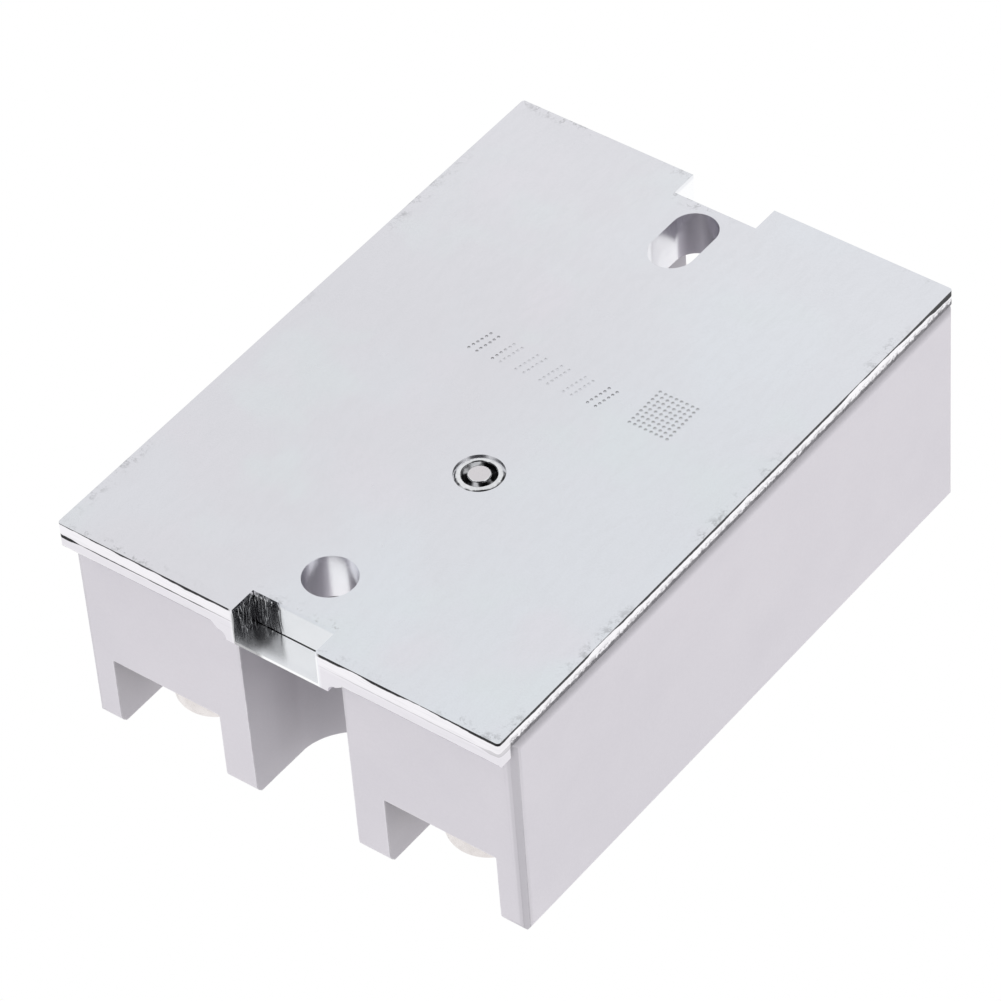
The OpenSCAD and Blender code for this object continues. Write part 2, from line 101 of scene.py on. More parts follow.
def prism(outline, low, high, axis="Z"):
    """An extruded outline. Along Z the outline is (x, y), along Y it is (x, z), along X it is (y, z)."""
    place = {"Z": lambda a, b, t: (a, b, t),
             "Y": lambda a, b, t: (a, t, b),
             "X": lambda a, b, t: (t, a, b)}[axis]
    bm = bmesh.new()
    ends = [[bm.verts.new(place(a, b, t)) for a, b in outline] for t in (low, high)]
    bm.faces.new(ends[0])
    bm.faces.new(list(reversed(ends[1])))
    n = len(outline)
    for i in range(n):
        bm.faces.new((ends[0][i], ends[1][i], ends[1][(i + 1) % n], ends[0][(i + 1) % n]))
    return new_object("prism", bm)


def box(x0, x1, y0, y1, z0, z1):
    return prism([(min(x0, x1), min(y0, y1)), (max(x0, x1), min(y0, y1)),
                  (max(x0, x1), max(y0, y1)), (min(x0, x1), max(y0, y1))], z0, z1)


def lathe(profile, cx, cy, z, steps=64):
    """A body of revolution about an upright axis. The profile is (radius, height), from axis to axis."""
    bm = bmesh.new()
    rings = []
    for r, h in profile:
        if r < 1e-6:
            rings.append([bm.verts.new((cx, cy, z + h))])
        else:
            turns = [2 * math.pi * i / steps for i in range(steps)]
            rings.append([bm.verts.new((cx + r * math.cos(a), cy + r * math.sin(a), z + h)) for a in turns])
    for a, b in zip(rings, rings[1:]):
        for i in range(steps):
            j = (i + 1) % steps
            loop = [a[i % len(a)], a[j % len(a)], b[j % len(b)], b[i % len(b)]]
            bm.faces.new(list(dict.fromkeys(loop)))
    return new_object("lathe", bm)


def bake(obj):
    """Applies obj's modifiers."""
    bpy.context.view_layer.update()
    graph = bpy.context.evaluated_depsgraph_get()
    mesh = bpy.data.meshes.new_from_object(obj.evaluated_get(graph), depsgraph=graph)
    old = obj.data
    obj.modifiers.clear()
    obj.data = mesh
    bpy.data.meshes.remove(old)
    return obj


def combine(obj, tools, operation="DIFFERENCE"):
    for tool in tools:
        mod = obj.modifiers.new("solid", "BOOLEAN")
        mod.solver, mod.operation, mod.object = "EXACT", operation, tool
    bake(obj)
    for tool in tools:
        data = tool.data
        bpy.data.objects.remove(tool)
        bpy.data.meshes.remove(data)
    return obj


def join(objs):
    """One mesh of several that don't touch, as one cutting tool."""
    bm = bmesh.new()
    for o in objs:
        bm.from_mesh(o.data)
        data = o.data
        bpy.data.objects.remove(o)
        bpy.data.meshes.remove(data)
    return new_object("tools", bm)


def clean(obj, merge=0.004):
    bm = bmesh.new()
    bm.from_mesh(obj.data)
    bmesh.ops.remove_doubles(bm, verts=bm.verts, dist=merge)
    bmesh.ops.dissolve_limit(bm, angle_limit=math.radians(0.5), verts=bm.verts, edges=bm.edges)
    bm.to_mesh(obj.data)
    bm.free()
    return obj


def round_edges(obj, width, rule, segments=3, angle=30):
    """Rounds each edge sharper than angle by width times rule(middle, convex), which is 1 at most."""
    bm = bmesh.new()
    bm.from_mesh(obj.data)
    layer = bm.edges.layers.float.get("bevel_weight_edge") or bm.edges.layers.float.new("bevel_weight_edge")
    for e in bm.edges:
        e[layer] = 0.0
        if len(e.link_faces) == 2 and e.calc_face_angle(0) > math.radians(angle):
            e[layer] = rule((e.verts[0].co + e.verts[1].co) / 2, e.is_convex)
    bm.to_mesh(obj.data)
    bm.free()
    mod = obj.modifiers.new("round", "BEVEL")
    mod.limit_method, mod.width, mod.segments = "WEIGHT", width, segments
    mod.use_clamp_overlap = True
    mod.loop_slide = True
    return bake(obj)


def finish_mesh(obj, name, body, material, nodes=(), smooth=42):
    """Smooth shading with sharp edges kept, then metres, name, finish and body."""
    mesh = obj.data
    for p in mesh.polygons:
        p.use_smooth = True
    mesh.set_sharp_from_angle(angle=math.radians(smooth))
    mod = obj.modifiers.new("normals", "WEIGHTED_NORMAL")
    mod.keep_sharp, mod.weight = True, 80
    bake(obj)
    obj.data.transform(Matrix.Scale(MM, 4))
    obj.name = obj.data.name = name
    obj.data.materials.clear()
    obj.data.materials.append(material)
    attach(obj, body)
    if nodes:
        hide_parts(*nodes)
    return obj


# ---------------------------------------------------------------- materials

class Graph:
    """Short calls for building a node tree."""

    def __init__(self, tree):
        self.tree = tree
        tree.nodes.clear()

    def node(self, kind, inputs=(), **settings):
        n = self.tree.nodes.new(kind)
        for key, value in settings.items():
            setattr(n, key, value)
        for key, value in dict(inputs).items():
            if isinstance(value, bpy.types.NodeSocket):
                self.tree.links.new(value, n.inputs[key])
            else:
                n.inputs[key].default_value = value
        return n

    def math(self, operation, a, b=0.0, clamp=False):
        return self.node("ShaderNodeMath", {0: a, 1: b}, operation=operation, use_clamp=clamp).outputs[0]

    def plus(self, a, b, clamp=False):
        return self.math("ADD", a, b, clamp)

    def minus(self, a, b, clamp=False):
        return self.math("SUBTRACT", a, b, clamp)

    def times(self, a, b):
        return self.math("MULTIPLY", a, b)

    def largest(self, a, b):
        return self.math("MAXIMUM", a, b)

    def smallest(self, a, b):
        return self.math("MINIMUM", a, b)

    def positive(self, a):
        return self.math("ABSOLUTE", a)

    def split(self, vector):
        return self.node("ShaderNodeSeparateXYZ", {0: vector}).outputs

    def stretched(self, where, scale):
        return self.node("ShaderNodeMapping", {"Vector": where, "Scale": scale}).outputs[0]

    def dot(self, a, b):
        return self.node("ShaderNodeVectorMath", {0: a, 1: b}, operation="DOT_PRODUCT").outputs["Value"]

    def ramp(self, value, low, high, out_low=0.0, out_high=1.0):
        n = self.node("ShaderNodeMapRange", {0: value, 1: low, 2: high, 3: out_low, 4: out_high})
        n.interpolation_type = "SMOOTHSTEP"
        return n.outputs[0]

    def mix(self, factor, a, b, blend="MIX"):
        n = self.node("ShaderNodeMix", data_type="RGBA", blend_type=blend)
        for key, value in ((0, factor), (6, a), (7, b)):
            if isinstance(value, bpy.types.NodeSocket):
                self.tree.links.new(value, n.inputs[key])
            else:
                n.inputs[key].default_value = value
        return n.outputs[2]

    def noise(self, where, scale, detail=2.0, rough=0.5):
        sockets = {"Vector": where, "Scale": scale, "Detail": detail, "Roughness": rough}
        return self.node("ShaderNodeTexNoise", sockets).outputs[0]

    def bump(self, height, strength, distance, normal=None):
        sockets = {"Strength": strength, "Distance": distance, "Height": height}
        if normal is not None:
            sockets["Normal"] = normal
        return self.node("ShaderNodeBump", sockets).outputs[0]

    def shade(self, tone, roughness, relief, others=()):
        """Ends the tree in one principled shader."""
        sockets = {"Base Color": tone, "Roughness": roughness, "Normal": relief, **dict(others)}
        shader = self.node("ShaderNodeBsdfPrincipled", sockets)
        self.node("ShaderNodeOutputMaterial", {"Surface": shader.outputs[0]})


def start_material(name):
    m = bpy.data.materials.new(name)
    m.use_nodes = True
    return m, Graph(m.node_tree)


def grey(v):
    return (v, v, v, 1.0)


def surface(name, colour, second, metallic=0.0, rough=(0.4, 0.5), patch=120.0, grain=4000.0,
            bump=0.15, depth=0.00002, edge=None, edge_size=0.0003, edge_amount=0.5, stretch=None,
            ior=1.45, coat=0.0):
    """A finish with patchy colour, varied roughness, fine grain and worn edges. Scales are per metre."""
    m, g = start_material(name)
    where = g.node("ShaderNodeTexCoord").outputs["Object"]
    if stretch:
        where = g.stretched(where, stretch)
    patches = g.ramp(g.noise(where, patch, 3.0), 0.35, 0.65)
    fine = g.noise(where, grain, 3.0, 0.6)
    tone = g.mix(patches, colour, second)
    tone = g.mix(g.ramp(fine, 0.3, 0.7, 0.0, 0.25), tone, g.mix(1.0, tone, grey(0.9), "MULTIPLY"))
    if edge:
        rounded = g.node("ShaderNodeBevel", {"Radius": edge_size}, samples=4).outputs[0]
        flat = g.node("ShaderNodeNewGeometry").outputs["Normal"]
        bend = g.dot(rounded, flat)
        wear_and_painted_light = g.times(g.ramp(bend, 0.99, 0.85), g.ramp(g.noise(where, grain / 4, 2.0), 0.35, 0.65))
        tone = g.mix(g.times(wear_and_painted_light, edge_amount), tone, edge)
    roughness = g.plus(g.ramp(g.noise(where, patch * 4, 3.0), 0.3, 0.7, rough[0], rough[1]),
                       g.ramp(fine, 0.3, 0.7, -0.02, 0.02))
    relief = g.bump(fine, bump, depth)
    g.shade(tone, roughness, relief, {"Metallic": metallic, "IOR": ior, "Coat Weight": coat})
    return m


def plastic_finish():
    """Satin moulded plastic, with painted shade in hollows, under the plate's edge band, on inner walls facing +X
    and at the upright corners, and painted highlights on its edges.
    """
    m, g = start_material("housing_plastic")
    where = g.node("ShaderNodeTexCoord").outputs["Object"]
    place = g.split(where)
    normal = g.node("ShaderNodeNewGeometry").outputs["Normal"]
    n = g.split(normal)
    ax = g.positive(place[0])
    fine = g.noise(where, 3800.0, 3.0, 0.6)
    patches = g.ramp(g.noise(where, 60.0, 3.0), 0.35, 0.65)
    tone = g.mix(patches, (0.675, 0.648, 0.697, 1), (0.655, 0.630, 0.680, 1))
    tone = g.mix(g.ramp(fine, 0.3, 0.7, 0.0, 0.2), tone, g.mix(1.0, tone, grey(0.92), "MULTIPLY"))
    # painted shade: the plastic is darkened where the ambient occlusion node finds hollows
    hollow_shade = g.node("ShaderNodeAmbientOcclusion", {"Distance": 0.011}, samples=12, only_local=True)
    tone = g.mix(g.ramp(hollow_shade.outputs["AO"], 0.95, 0.25, 0.0, 0.66), tone, (0.20, 0.185, 0.205, 1))
    # painted shade inside the recesses round the mounting holes, darkest towards the plate
    recess_shade = g.times(g.ramp(ax, 0.0056, 0.0050), g.ramp(place[2], 0.009, 0.0195, 0.0, 0.50))
    tone = g.mix(recess_shade, tone, (0.16, 0.15, 0.165, 1))
    # painted shadow on the outer side walls just under the plate's edge band
    under = g.times(g.ramp(ax, 0.0208, 0.0214), g.ramp(place[2], 0.0207, 0.0215, 0.0, 0.40))
    tone = g.mix(under, tone, (0.22, 0.21, 0.23, 1))
    # painted shade on inner walls that face +X
    right_facing_shade = g.times(g.ramp(n[0], 0.35, 0.9, 0.0, 0.24), g.ramp(ax, 0.0212, 0.0206))
    tone = g.mix(right_facing_shade, tone, (0.16, 0.15, 0.165, 1))
    # painted shade on the upright rounded corners
    corner_shade = g.ramp(g.positive(g.times(n[0], n[1])), 0.02, 0.50, 0.0, 0.34)
    tone = g.mix(corner_shade, tone, (0.30, 0.29, 0.32, 1))
    # painted highlight: lighter colour on the rounded edges
    rounded = g.node("ShaderNodeBevel", {"Radius": 0.0003}, samples=4).outputs[0]
    bend = g.dot(rounded, normal)
    wear_and_painted_light = g.times(g.ramp(bend, 0.99, 0.88), g.ramp(g.noise(where, 900.0, 2.0), 0.3, 0.6))
    tone = g.mix(g.times(wear_and_painted_light, 0.55), tone, (0.84, 0.83, 0.86, 1))
    roughness = g.plus(g.ramp(g.noise(where, 240.0, 3.0), 0.3, 0.7, 0.42, 0.52),
                       g.ramp(fine, 0.3, 0.7, -0.02, 0.02))
    relief = g.bump(fine, 0.35, 0.00002)
    g.shade(tone, roughness, relief)
    return m


def plate_finish():
    """Nickel-plated blanked steel: a satin, faintly tinted face and glossy drawn sides, with painted shade along
    the sides' top edge, fold line and ragged foot.
    """
    m, g = start_material("plate_finish")
    where = g.node("ShaderNodeTexCoord").outputs["Object"]
    place = g.split(where)
    facing = g.node("ShaderNodeNewGeometry").outputs["Normal"]
    upright = g.positive(g.split(facing)[2])
    side = g.ramp(upright, 0.93, 0.70)

    face = g.ramp(upright, 0.97, 0.995)
    ax, ay = g.positive(place[0]), g.positive(place[1])
    depth = g.minus(TOTAL_H * MM, place[2])
    on_face = g.times(face, g.ramp(depth, 0.0003, 0.0001))

    drawn = g.stretched(where, (1.0, 0.35, 1.0))
    drift = g.ramp(g.noise(where, 70.0, 2.0), 0.42, 0.66, -0.25, 0.25)
    cool = g.plus(drift, g.ramp(place[0], -0.014, 0.016), clamp=True)
    fine = g.noise(where, 5200.0, 4.0, 0.65)
    speck = g.noise(drawn, 1500.0, 3.0, 0.6)
    tone = g.mix(cool, (0.845, 0.832, 0.868, 1), (0.862, 0.885, 0.925, 1))
    green = g.ramp(g.noise(where, 110.0, 2.0), 0.52, 0.70, 0.0, 0.45)
    tone = g.mix(green, tone, (0.845, 0.895, 0.905, 1))
    pink = g.ramp(g.noise(where, 90.0, 2.0, 0.4), 0.56, 0.72, 0.0, 0.45)
    tone = g.mix(pink, tone, (0.885, 0.845, 0.895, 1))
    # painted sheen: lighter towards the far end
    tone = g.mix(g.ramp(place[1], 0.0, 0.028, 0.0, 0.35), tone, (0.95, 0.94, 0.975, 1))
    tone = g.mix(g.ramp(speck, 0.35, 0.7, 0.0, 0.12), tone, (0.76, 0.76, 0.79, 1))
    tone = g.mix(g.ramp(fine, 0.35, 0.7, 0.0, 0.10), tone, (0.68, 0.69, 0.71, 1))

    # sides: streaks along the cut, painted shade along the ragged top edge, a fold line painted as shade on the
    # near end's lip, and a rough foot with painted shade on the long bands
    across = g.stretched(where, (0.10, 0.10, 1.0))
    upward = g.stretched(where, (1.0, 1.0, 0.10))
    inner = g.ramp(ax, 0.0046, 0.0042)
    outer = g.times(side, g.minus(1.0, inner, clamp=True))
    level = g.noise(across, 2600.0, 3.0, 0.6)
    stripe = g.noise(upward, 1900.0, 3.0, 0.6)
    ragged = g.noise(where, 1500.0, 3.0, 0.7)
    slow = g.noise(where, 160.0, 2.0, 0.6)
    # painted shade: a black ragged line along the top edge of the sides
    reach = g.plus(g.ramp(slow, 0.38, 0.62, 0.00016, 0.00040), g.times(ragged, -0.00018))
    reach = g.plus(reach, g.ramp(place[1], 0.024, 0.031, 0.0, 0.0003))
    top_edge_shade = g.times(g.ramp(g.minus(depth, reach), 0.00006, -0.00002), outer)
    tone = g.mix(outer, tone, (0.97, 0.955, 0.985, 1))
    lip = g.times(outer, g.ramp(place[1], -0.0295, -0.0298))
    band = g.times(g.times(outer, g.ramp(ax, 0.0213, 0.0216)), g.ramp(place[1], -0.0298, -0.0295))
    tone = g.mix(g.times(lip, g.ramp(depth, 0.0009, 0.0018, 0.35, 1.0)), tone, (0.80, 0.78, 0.825, 1))
    tone = g.mix(g.times(outer, g.ramp(level, 0.50, 0.66, 0.0, 0.30)), tone, (0.72, 0.71, 0.74, 1))
    # fold line of painted shade, heavy at the corners and thin towards the notch
    heavy = g.ramp(ax, 0.0195, 0.0215, 0.00004, 0.00017)
    heavy = g.times(heavy, g.ramp(g.noise(where, 420.0, 2.0, 0.6), 0.30, 0.62, 0.35, 1.5))
    gap = g.positive(g.minus(g.plus(depth, g.times(ragged, 0.00010)), 0.00140))
    fold_shade = g.times(g.ramp(g.minus(gap, heavy), 0.00004, -0.00002), lip)
    fold_shade = g.times(fold_shade, g.ramp(ax, 0.0050, 0.0090, 0.35, 1.0))
    fold_shade = g.times(fold_shade, g.ramp(place[0], 0.0, 0.004, 1.0, 0.25))
    # long bands: pitted lower half and a ragged foot of painted shade where they meet the housing
    pits = g.ramp(g.noise(where, 1900.0, 3.0, 0.7), 0.48, 0.60)
    rough_zone = g.times(g.ramp(g.plus(depth, g.times(ragged, 0.0006)), 0.00085, 0.00120), band)
    foot_shade = g.times(g.ramp(g.plus(depth, g.times(ragged, 0.0008)), 0.00142, 0.00156), band)
    tone = g.mix(g.times(rough_zone, g.times(pits, 0.5)), tone, (0.40, 0.39, 0.41, 1))
    tone = g.mix(g.times(foot_shade, 0.92), tone, (0.16, 0.155, 0.17, 1))
    tone = g.mix(g.largest(top_edge_shade, fold_shade), tone, (0.012, 0.012, 0.014, 1))

    # notches: painted shade in the creases round the floor and along the rims, painted shade on the near one's
    # left walls; scuffs along the edges
    back = g.positive(g.minus(ay, (PLATE_L / 2 - NOTCH_D) * MM))
    low = g.positive(g.minus(place[2], NOTCH_Z * MM))
    in_notch = g.times(g.times(g.ramp(ax, 0.00435, 0.0042), g.ramp(ay, 0.0281, 0.0283)),
                      g.ramp(depth, 0.00025, 0.0006))
    tone = g.mix(in_notch, tone, (0.985, 0.99, 1.0, 1))
    # painted shade on the left walls of the near notch
    near = g.ramp(place[1], 0.0, -0.001)
    notch_wall_shade = g.times(g.times(in_notch, near), g.times(side, g.ramp(place[0], -0.0012, -0.0019)))
    tone = g.mix(g.times(notch_wall_shade, 0.68), tone, (0.22, 0.22, 0.23, 1))
    # painted shade: black lines in the crease round the notch floor and along the notch rims
    crease_shade = g.times(g.ramp(g.largest(back, low), 0.00010, 0.00005), g.ramp(ax, 0.0044, 0.0042))
    crease_shade = g.times(crease_shade, g.ramp(ragged, 0.30, 0.45))
    flank = g.positive(g.minus(ax, NOTCH_W / 2 * MM))
    rim_shade = g.times(g.ramp(g.largest(flank, back), 0.00009, 0.00004), g.ramp(depth, 0.0, 0.0001))
    tone = g.mix(g.largest(crease_shade, g.times(rim_shade, 0.9)), tone, (0.03, 0.03, 0.035, 1))
    edge_gap = g.smallest(g.minus(PLATE_L / 2 * MM, ay),
                          g.plus(back, g.ramp(ax, 0.0040, 0.0052, 0.0, 0.01)))
    edge_gap = g.smallest(edge_gap, g.minus(PLATE_W / 2 * MM, ax))
    scuff = g.times(g.ramp(edge_gap, 0.0013, 0.0001), g.ramp(g.noise(where, 1100.0, 4.0, 0.75), 0.50, 0.66))
    scuff = g.times(scuff, g.ramp(g.noise(where, 120.0, 2.0), 0.42, 0.58))
    tone = g.mix(g.times(g.times(scuff, on_face), 0.55), tone, (0.36, 0.36, 0.37, 1))

    satin = g.plus(g.ramp(g.noise(where, 260.0, 3.0), 0.3, 0.7, 0.20, 0.25),
                   g.ramp(fine, 0.3, 0.7, -0.02, 0.03))
    glossy = g.plus(g.ramp(g.noise(where, 400.0, 2.0), 0.3, 0.7, 0.08, 0.14), g.times(rough_zone, 0.2))
    glossy = g.plus(glossy, g.times(inner, g.ramp(ay, 0.0279, 0.0274, 0.0, 0.12)))
    roughness = g.node("ShaderNodeMix", {0: side, 2: satin, 3: glossy}, data_type="FLOAT").outputs[0]
    height = g.plus(g.times(fine, 0.3), g.times(g.noise(where, 90.0, 2.0), 6.0))
    relief = g.bump(height, 0.25, 0.000012)
    sway = g.node("ShaderNodeTexNoise", {"Vector": where, "Scale": 500.0}).outputs[1]
    sway = g.node("ShaderNodeVectorMath", {0: sway, "Scale": 0.00035}, operation="SCALE").outputs[0]
    warp = g.node("ShaderNodeVectorMath", {0: upward, 1: sway}, operation="ADD").outputs[0]
    scratch = g.ramp(g.positive(g.minus(g.noise(warp, 1500.0, 2.0, 0.5), 0.5)), 0.05, 0.0)
    outside = g.times(outer, g.plus(g.times(level, 0.6), g.times(rough_zone, pits)))
    inside = g.times(side, inner)
    scored = g.plus(g.times(stripe, 0.3), g.times(g.times(scratch, notch_wall_shade), 1.6))
    cut = g.plus(outside, g.times(inside, scored))
    relief = g.bump(cut, 0.6, 0.00006, relief)
    g.shade(tone, roughness, relief, {"Metallic": 1.0})
    return m


def rivet_finish():
    """Bright rivet metal with painted black shade in its sunken rings and a duller tip."""
    m, g = start_material("rivet_metal")
    where = g.node("ShaderNodeTexCoord").outputs["Object"]
    place = g.split(where)
    depth = g.minus(TOTAL_H * MM, place[2])
    across = g.minus(place[0], RIVET.x * MM)
    along = g.minus(place[1], RIVET.y * MM)
    radius = g.math("SQRT", g.plus(g.times(across, across), g.times(along, along)))
    ragged = g.noise(where, 2100.0, 3.0, 0.7)
    broad = g.noise(where, 620.0, 2.0, 0.6)
    tip = g.ramp(radius, 0.00092, 0.00084)
    tone = g.mix(g.ramp(ragged, 0.35, 0.65), (0.93, 0.93, 0.94, 1), (0.80, 0.80, 0.81, 1))
    tone = g.mix(tip, tone, (0.79, 0.755, 0.77, 1))
    # painted shade: black in the rings sunk below the rivet's top, broken up by noise
    wear_and_painted_light = g.ramp(g.plus(depth, g.times(ragged, 0.00016)), 0.00015, 0.00024)
    wear_and_painted_light = g.times(wear_and_painted_light, g.ramp(broad, 0.42, 0.54, 0.12, 1.0))
    tone = g.mix(g.times(wear_and_painted_light, 0.97), tone, (0.015, 0.015, 0.017, 1))
    roughness = g.plus(g.ramp(ragged, 0.3, 0.7, 0.06, 0.14), g.times(tip, 0.2))
    relief = g.bump(ragged, 0.5, 0.00004)
    g.shade(tone, roughness, relief, {"Metallic": 1.0})
    return m


MATERIALS = {
    "housing_plastic": plastic_finish(),
    "base_metal": plate_finish(),
    "rivet_metal": rivet_finish(),
    "label_film": surface(
        "label_film", (0.80, 0.80, 0.81, 1), (0.77, 0.77, 0.79, 1), rough=(0.28, 0.36), patch=80.0,
        grain=5000.0, bump=0.1, edge=(0.65, 0.65, 0.66, 1), coat=0.2),
    "alumina": surface(
        "alumina", (0.85, 0.84, 0.81, 1), (0.82, 0.81, 0.78, 1), rough=(0.6, 0.75), patch=300.0,
        grain=5000.0, bump=0.3, edge=(0.7, 0.69, 0.66, 1)),
    "copper": surface(
        "copper", (0.80, 0.42, 0.26, 1), (0.70, 0.35, 0.22, 1), metallic=1.0, rough=(0.26, 0.42),
        patch=350.0, grain=3500.0, bump=0.3, edge=(0.92, 0.60, 0.42, 1), stretch=(1.0, 0.3, 1.0)),
    "device_plastic": surface(
        "device_plastic", (0.025, 0.025, 0.027, 1), (0.035, 0.034, 0.034, 1), rough=(0.45, 0.6),
        patch=400.0, grain=7000.0, bump=0.4, edge=(0.09, 0.09, 0.09, 1)),
    "tinned_lead": surface(
        "tinned_lead", (0.76, 0.76, 0.75, 1), (0.64, 0.64, 0.63, 1), metallic=1.0, rough=(0.24, 0.4),
        patch=900.0, grain=7000.0, bump=0.25, edge=(0.88, 0.88, 0.87, 1)),
    "potting_resin": surface(
        "potting_resin", (0.03, 0.032, 0.035, 1), (0.045, 0.045, 0.048, 1), rough=(0.15, 0.3),
        patch=90.0, grain=1500.0, bump=0.5, depth=0.00006, edge=(0.1, 0.1, 0.1, 1), coat=0.3),
    "circuit_board": surface(
        "circuit_board", (0.03, 0.16, 0.07, 1), (0.04, 0.20, 0.09, 1), rough=(0.3, 0.4), patch=500.0,
        grain=2600.0, bump=0.3, edge=(0.42, 0.42, 0.26, 1), edge_amount=0.8, coat=0.4),
    "white_plastic": surface(
        "white_plastic", (0.72, 0.71, 0.67, 1), (0.68, 0.67, 0.63, 1), rough=(0.45, 0.55), patch=500.0,
        grain=6000.0, bump=0.3, edge=(0.8, 0.79, 0.75, 1)),
    "resistor_coat": surface(
        "resistor_coat", (0.44, 0.29, 0.16, 1), (0.36, 0.24, 0.14, 1), rough=(0.25, 0.4), patch=900.0,
        grain=6000.0, bump=0.3, edge=(0.55, 0.4, 0.26, 1), coat=0.3),
    "capacitor_coat": surface(
        "capacitor_coat", (0.62, 0.34, 0.05, 1), (0.55, 0.29, 0.04, 1), rough=(0.28, 0.4), patch=400.0,
        grain=4000.0, bump=0.3, edge=(0.72, 0.46, 0.13, 1), coat=0.3),
    "led_resin": surface(
        "led_resin", (0.42, 0.015, 0.02, 1), (0.34, 0.01, 0.015, 1), rough=(0.06, 0.12), patch=600.0,
        grain=6000.0, bump=0.05, edge=(0.6, 0.06, 0.06, 1), edge_amount=0.3, coat=0.6),
    "terminal_metal": surface(
        "terminal_metal", (0.80, 0.80, 0.79, 1), (0.70, 0.70, 0.69, 1), metallic=1.0,
        rough=(0.22, 0.34), patch=400.0, grain=4200.0, bump=0.3, edge=(0.92, 0.92, 0.90, 1)),
    "clamp_metal": surface(
        "clamp_metal", (0.83, 0.80, 0.74, 1), (0.74, 0.71, 0.66, 1), metallic=1.0, rough=(0.24, 0.38),
        patch=500.0, grain=4200.0, bump=0.35, edge=(0.94, 0.92, 0.88, 1)),
    "screw_metal": surface(
        "screw_metal", (0.84, 0.80, 0.79, 1), (0.76, 0.72, 0.71, 1), metallic=1.0, rough=(0.2, 0.34),
        patch=500.0, grain=4500.0, bump=0.35, depth=0.00003, edge=(0.93, 0.91, 0.90, 1),
        edge_size=0.00015),
}


# ---------------------------------------------------------------- housing

def recess_outline(r, s):
    """U outline round a mounting hole, open at the end face on side s."""
    pts = arc(0, HOLE_Y, r, 180, 360, 40)
    pts = [(-r, FAR_Y + 4)] + pts + [(r, FAR_Y + 4)]
    return [(x, s * y) for x, y in pts]


def side_profile(half, low_r, high_r):
    pts = arc(half - low_r, low_r, low_r, -90, 0, 8)
    if high_r:
        pts += arc(half - high_r, RIM_Z - high_r, high_r, 0, 90, 6)
        pts += [(half - high_r - 0.01, RIM_Z + 0.5)]
    else:
        pts += [(half, RIM_Z + 0.5)]
    return pts + [(-x, z) for x, z in reversed(pts)]


def make_housing():
    half, mid = (FAR_Y + NEAR_Y) / 2, (FAR_Y - NEAR_Y) / 2
    shell = prism(rounded_rect(HOUSING_W, 2 * half, EDGE_R, 8, 0, mid), 0, RIM_Z)
    across = prism(side_profile(HOUSING_W / 2, EDGE_R, SHOULDER_R), -40, 40, "Y")
    along = prism([(y + mid, z) for y, z in side_profile(half, EDGE_R, 0)], -40, 40, "X")
    combine(shell, [across, along], "INTERSECT")

    cavity = prism(rounded_rect(HOUSING_W - 2 * WALL, 2 * (NEAR_Y - INNER_WALL), EDGE_R), FLOOR_T, 30)
    keep = [prism(recess_outline(COLUMN_R, s), -2, 32) for s in (-1, 1)]
    for sx, sy in CORNERS:
        keep.append(box(sx * (SCREW_X - POCKET_W / 2 - INNER_WALL), sx * HOUSING_W / 2,
                        sy * (POCKET_BACK - INNER_WALL), sy * NEAR_Y, 0, POCKET_H + INNER_WALL))
    combine(cavity, keep)

    cuts = [cavity, box(-SLAB_W / 2 - 0.05, SLAB_W / 2 + 0.05, -40, 40, PLATE_UNDER, 30)]
    for s in (-1, 1):
        cuts.append(prism(recess_outline(RECESS_R, s), -2, 30))
    for sx, sy in CORNERS:
        cuts.append(box(sx * (SCREW_X - POCKET_W / 2), sx * (SCREW_X + POCKET_W / 2),
                        sy * POCKET_BACK, sy * 35, -2, POCKET_H))
        collar = circle(sx * SCREW_X, sy * SCREW_Y, COLLAR_R + COLLAR_GAP)
        cuts.append(prism(collar, POCKET_H - 0.2, POCKET_H + INNER_WALL + 0.2))
        cuts.append(box(sx * (SCREW_X - 2.6), sx * (SCREW_X + 2.6), sy * 15.95, sy * (POCKET_BACK + 0.2),
                        TERMINAL_Z - 0.1, POCKET_H + 0.1))
    cuts.append(prism(rounded_rect(LABEL_W, LABEL_L, EDGE_R), -1, LABEL_RECESS))
    cuts.append(prism(circle(LED_X, LED_Y, LED_D / 2 + 0.1), -1, FLOOR_T + 1))
    combine(shell, cuts)
    clean(shell)

    def rule(p, convex):
        x, y, z = abs(p.x), abs(p.y), p.z
        end = NEAR_Y if p.y < 0 else FAR_Y
        if z > PLATE_UNDER - 0.05:
            return 0.15 if convex and y > end - 0.1 else 0.0
        if y > end - 0.02 and abs(z - POCKET_H) < 0.05:
            return 0.15
        if z < 0.02 and y > POCKET_BACK and x > 5 and y < end - 1.2:
            return 1.0
        if y > end - 0.02 or z < 0.02:
            return 0.6 if (x > 19.2 or y > 18.3 or math.hypot(x, y - HOLE_Y) < 6) else 0.2
        if y > POCKET_BACK - 0.1 and z < POCKET_H + 0.1 and x > SCREW_X - POCKET_W / 2 - 0.1 and not convex:
            return 0.5
        if z < 0.36:
            return 0.2
        return 0.0

    round_edges(shell, 0.65, rule, segments=4, angle=35)
    for v in shell.data.vertices:
        draft = 0.13 * (1 - v.co.z / PLATE_UNDER)
        if abs(v.co.x) > HOUSING_W / 2 - 0.5:
            v.co.x -= math.copysign(draft, v.co.x)
        if abs(v.co.y) > (NEAR_Y if v.co.y < 0 else FAR_Y) - 0.5:
            v.co.y -= math.copysign(draft, v.co.y)
    return finish_mesh(shell, "housing_shell", "relay_body", MATERIALS["housing_plastic"],
                       ["housing"])


# ---------------------------------------------------------------- base plate

